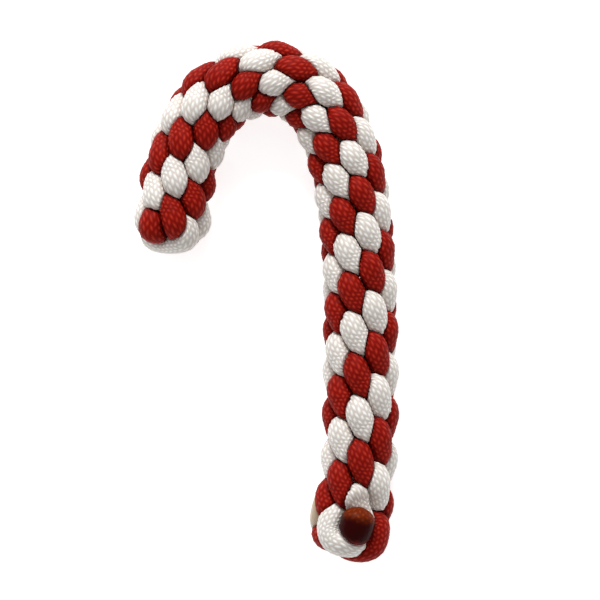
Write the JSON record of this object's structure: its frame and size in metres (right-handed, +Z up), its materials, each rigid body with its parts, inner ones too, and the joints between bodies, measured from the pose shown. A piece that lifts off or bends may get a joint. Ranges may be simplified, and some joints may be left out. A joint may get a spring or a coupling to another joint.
{
  "type": "knotted cord candy cane ornament",
  "caption": "Candy cane ornament of red and white braided cord, tied as a round knotted rope and bent into a hook, its cut ends tucked in and melted at the stem's foot.",
  "frame": {"origin": "centre of the bounding box, on the surface that the cane lies on", "axes": "+Y up the stem towards the hook's top, +X from the hook's end towards the stem, +Z up from the surface that the cane lies on, towards its shown side"},
  "size_m": [0.0459, 0.0904, 0.014],
  "materials": {
    "cord_red": "woven nylon, satin",
    "cord_white": "woven nylon, satin"
  },
  "bodies": {
    "root": {"cord_red": "cord_red", "cord_white": "cord_white"}
  },
  "joints": []
}
